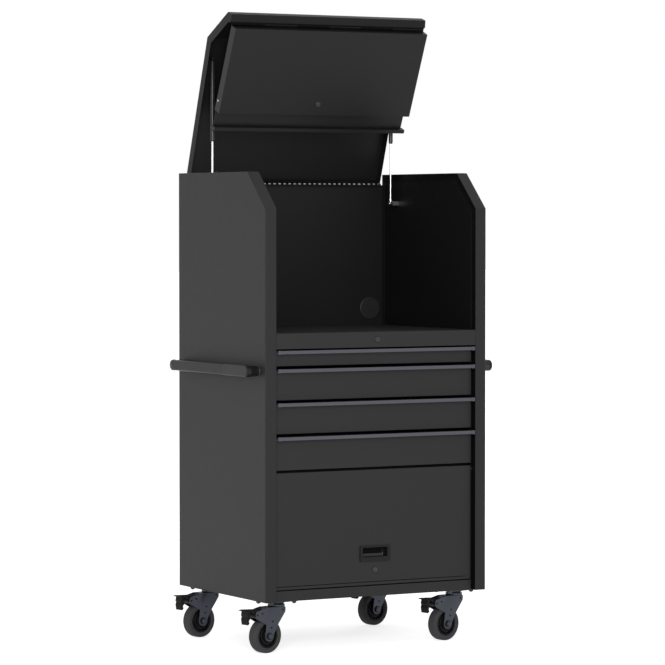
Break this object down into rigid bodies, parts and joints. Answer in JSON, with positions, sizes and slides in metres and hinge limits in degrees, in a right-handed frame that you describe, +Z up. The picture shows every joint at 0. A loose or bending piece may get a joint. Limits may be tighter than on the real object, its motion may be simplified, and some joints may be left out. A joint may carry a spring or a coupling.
{
  "type": "diagnostic tool trolley",
  "caption": "Wheeled steel workshop cabinet with a raised hinged lid whose front folds down, a bench compartment, pull-out drawers, a lower flap door and side push bars.",
  "frame": {"origin": "on the floor, under the middle of the whole object's footprint with the lid open", "axes": "+Z up, -Y the front with the drawers, +X to the right of someone who faces the front"},
  "size_m": [0.8407, 0.5852, 1.8558],
  "materials": {
    "body_paint": "fine-textured charcoal powder coat",
    "front_paint": "fine-textured charcoal powder coat, door and drawer fronts",
    "inner_paint": "fine-textured dark powder coat, inside",
    "pull_strip": "dark anodised satin",
    "black_plastic": "fine-grained moulding",
    "zinc_steel": "zinc-plated",
    "chrome": "polished",
    "caster_steel": "semi-gloss dark blue-grey",
    "tyre_rubber": "matt rubber",
    "wheel_centre": "moulded nylon",
    "rubber": "matt",
    "strut_paint": "gloss black tube"
  },
  "bodies": {
    "cabinet": {"left_side_panel": "body_paint", "right_side_panel": "body_paint", "side_liners": "inner_paint", "rear_panel": "body_paint", "worktop": "body_paint", "base_pan": "body_paint", "mid_shelf": "inner_paint", "runner_channels": "zinc_steel", "side_handles": "black_plastic", "lid_hinge_fixed_leaf": "zinc_steel", "pivot_pins": "zinc_steel", "cable_grommet": "rubber", "caster_plates": "zinc_steel", "fascia_lock_housing": "chrome"},
    "lid": {"lid_shell": "body_paint", "lid_hardware": "zinc_steel"},
    "lid_door": {"lid_door_panel": "front_paint", "lid_door_lock_housing": "chrome"},
    "lid_door_lock": {"lid_door_lock_plug": "chrome"},
    "lid_bolt_left": {"lid_bolt_left": "zinc_steel"},
    "lid_bolt_right": {"lid_bolt_right": "zinc_steel"},
    "strut_rod_left": {"strut_rod_left": "chrome"},
    "strut_rod_right": {"strut_rod_right": "chrome"},
    "strut_tube_left": {"strut_tube_left": "strut_paint"},
    "strut_tube_right": {"strut_tube_right": "strut_paint"},
    "fascia_lock": {"fascia_lock_plug": "chrome"},
    "drawer_1": {"drawer_1_box": "front_paint", "drawer_1_pull": "pull_strip", "drawer_1_runners": "zinc_steel"},
    "drawer_2": {"drawer_2_box": "front_paint", "drawer_2_pull": "pull_strip", "drawer_2_runners": "zinc_steel"},
    "drawer_3": {"drawer_3_box": "front_paint", "drawer_3_pull": "pull_strip", "drawer_3_runners": "zinc_steel"},
    "drawer_4": {"drawer_4_box": "front_paint", "drawer_4_pull": "pull_strip", "drawer_4_runners": "zinc_steel"},
    "lower_door": {"lower_door_panel": "front_paint", "paddle_housing": "black_plastic", "lower_lock_housing": "chrome"},
    "paddle": {"paddle_lever": "black_plastic"},
    "lower_lock": {"lower_lock_plug": "chrome"},
    "caster_front_left_fork": {"caster_front_left_fork": "caster_steel"},
    "caster_front_left_wheel": {"caster_front_left_tyre": "tyre_rubber", "caster_front_left_wheel": "wheel_centre"},
    "caster_front_left_pedal": {"caster_front_left_pedal": "black_plastic"},
    "caster_front_right_fork": {"caster_front_right_fork": "caster_steel"},
    "caster_front_right_wheel": {"caster_front_right_tyre": "tyre_rubber", "caster_front_right_wheel": "wheel_centre"},
    "caster_front_right_pedal": {"caster_front_right_pedal": "black_plastic"},
    "caster_rear_left_fork": {"caster_rear_left_fork": "caster_steel"},
    "caster_rear_left_wheel": {"caster_rear_left_tyre": "tyre_rubber", "caster_rear_left_wheel": "wheel_centre"},
    "caster_rear_left_pedal": {"caster_rear_left_pedal": "black_plastic"},
    "caster_rear_right_fork": {"caster_rear_right_fork": "caster_steel"},
    "caster_rear_right_wheel": {"caster_rear_right_tyre": "tyre_rubber", "caster_rear_right_wheel": "wheel_centre"},
    "caster_rear_right_pedal": {"caster_rear_right_pedal": "black_plastic"}
  },
  "joints": [
    {"name": "lid_hinge", "type": "hinge", "parent": "cabinet", "child": "lid", "pos_m": [0, 0.26498, 1.356], "axis": [1, 0, 0], "range_deg": [0, 71.25]},
    {"name": "lid_door_hinge", "type": "hinge", "parent": "lid", "child": "lid_door", "pos_m": [0, 0.00093, 1.81963], "axis": [-1, 0, 0], "range_deg": [0, 95.15]},
    {"name": "lid_door_lock_turn", "type": "hinge", "parent": "lid_door", "child": "lid_door_lock", "pos_m": [0, 0.06987, 1.59248], "axis": [0, 0.9143, 0.4051], "range_deg": [0, 90]},
    {"name": "lid_bolt_left_slide", "type": "slide", "parent": "lid_door", "child": "lid_bolt_left", "axis": [-1, 0, 0], "range_m": [0, 0.012]},
    {"name": "lid_bolt_right_slide", "type": "slide", "parent": "lid_door", "child": "lid_bolt_right", "axis": [1, 0, 0], "range_m": [0, 0.012]},
    {"name": "strut_left_swing", "type": "hinge", "parent": "cabinet", "child": "strut_rod_left", "pos_m": [-0.307, 0.16368, 1.297], "axis": [1, 0, 0], "range_deg": [-1, 75]},
    {"name": "strut_left_slide", "type": "slide", "parent": "strut_rod_left", "child": "strut_tube_left", "axis": [0, 0.0062, -1], "range_m": [-0.001, 0.13656]},
    {"name": "strut_right_swing", "type": "hinge", "parent": "cabinet", "child": "strut_rod_right", "pos_m": [0.307, 0.16368, 1.297], "axis": [1, 0, 0], "range_deg": [-1, 75]},
    {"name": "strut_right_slide", "type": "slide", "parent": "strut_rod_right", "child": "strut_tube_right", "axis": [0, 0.0062, -1], "range_m": [-0.001, 0.13656]},
    {"name": "fascia_lock_turn", "type": "hinge", "parent": "cabinet", "child": "fascia_lock", "pos_m": [0, -0.28832, 0.8998], "axis": [0, 1, 0], "range_deg": [0, 90]},
    {"name": "drawer_1_slide", "type": "slide", "parent": "cabinet", "child": "drawer_1", "axis": [0, -1, 0], "range_m": [0, 0.35]},
    {"name": "drawer_2_slide", "type": "slide", "parent": "cabinet", "child": "drawer_2", "axis": [0, -1, 0], "range_m": [0, 0.35]},
    {"name": "drawer_3_slide", "type": "slide", "parent": "cabinet", "child": "drawer_3", "axis": [0, -1, 0], "range_m": [0, 0.35]},
    {"name": "drawer_4_slide", "type": "slide", "parent": "cabinet", "child": "drawer_4", "axis": [0, -1, 0], "range_m": [0, 0.35]},
    {"name": "lower_door_hinge", "type": "hinge", "parent": "cabinet", "child": "lower_door", "pos_m": [0, -0.26332, 0.51], "axis": [-1, 0, 0], "range_deg": [0, 90]},
    {"name": "paddle_turn", "type": "hinge", "parent": "lower_door", "child": "paddle", "pos_m": [0, -0.26532, 0.288], "axis": [-1, 0, 0], "range_deg": [0, 25], "stiffness_Nm_per_rad": 0.4, "springref_deg": -17.19},
    {"name": "lower_lock_turn", "type": "hinge", "parent": "lower_door", "child": "lower_lock", "pos_m": [0, -0.27332, 0.2275], "axis": [0, 1, 0], "range_deg": [0, 90]},
    {"name": "caster_front_left_swivel", "type": "hinge", "parent": "cabinet", "child": "caster_front_left_fork", "pos_m": [-0.3, -0.22332, 0.133], "axis": [0, 0, 1], "continuous": true},
    {"name": "caster_front_left_roll", "type": "hinge", "parent": "caster_front_left_fork", "child": "caster_front_left_wheel", "pos_m": [-0.34123, -0.23134, 0.05], "axis": [0.1908, -0.9816, 0], "continuous": true},
    {"name": "caster_front_left_pedal_turn", "type": "hinge", "parent": "caster_front_left_fork", "child": "caster_front_left_pedal", "pos_m": [-0.38246, -0.23935, 0.113], "axis": [0.1908, -0.9816, 0], "range_deg": [0, 12]},
    {"name": "caster_front_right_swivel", "type": "hinge", "parent": "cabinet", "child": "caster_front_right_fork", "pos_m": [0.3, -0.22332, 0.133], "axis": [0, 0, 1], "continuous": true},
    {"name": "caster_front_right_roll", "type": "hinge", "parent": "caster_front_right_fork", "child": "caster_front_right_wheel", "pos_m": [0.25877, -0.23134, 0.05], "axis": [0.1908, -0.9816, 0], "continuous": true},
    {"name": "caster_front_right_pedal_turn", "type": "hinge", "parent": "caster_front_right_fork", "child": "caster_front_right_pedal", "pos_m": [0.21754, -0.23935, 0.113], "axis": [0.1908, -0.9816, 0], "range_deg": [0, 12]},
    {"name": "caster_rear_left_swivel", "type": "hinge", "parent": "cabinet", "child": "caster_rear_left_fork", "pos_m": [-0.3, 0.19668, 0.133], "axis": [0, 0, 1], "continuous": true},
    {"name": "caster_rear_left_roll", "type": "hinge", "parent": "caster_rear_left_fork", "child": "caster_rear_left_wheel", "pos_m": [-0.34123, 0.18866, 0.05], "axis": [0.1908, -0.9816, 0], "continuous": true},
    {"name": "caster_rear_left_pedal_turn", "type": "hinge", "parent": "caster_rear_left_fork", "child": "caster_rear_left_pedal", "pos_m": [-0.38246, 0.18065, 0.113], "axis": [0.1908, -0.9816, 0], "range_deg": [0, 12]},
    {"name": "caster_rear_right_swivel", "type": "hinge", "parent": "cabinet", "child": "caster_rear_right_fork", "pos_m": [0.3, 0.19668, 0.133], "axis": [0, 0, 1], "continuous": true},
    {"name": "caster_rear_right_roll", "type": "hinge", "parent": "caster_rear_right_fork", "child": "caster_rear_right_wheel", "pos_m": [0.25877, 0.18866, 0.05], "axis": [0.1908, -0.9816, 0], "continuous": true},
    {"name": "caster_rear_right_pedal_turn", "type": "hinge", "parent": "caster_rear_right_fork", "child": "caster_rear_right_pedal", "pos_m": [0.21754, 0.18065, 0.113], "axis": [0.1908, -0.9816, 0], "range_deg": [0, 12]}
  ],
  "couplings": [
    {"joint": "lid_bolt_left_slide", "follows": "lid_bolt_right_slide", "ratio": 1},
    {"joint": "lid_door_lock_turn", "follows": "lid_bolt_right_slide", "rad_per_m": 130.89},
    {"joint": "strut_left_swing", "follows": "lid_hinge", "ratio": 1.0375},
    {"joint": "strut_left_slide", "follows": "lid_hinge", "m_per_rad": 0.10901},
    {"joint": "strut_right_swing", "follows": "lid_hinge", "ratio": 1.0375},
    {"joint": "strut_right_slide", "follows": "lid_hinge", "m_per_rad": 0.10901}
  ]
}
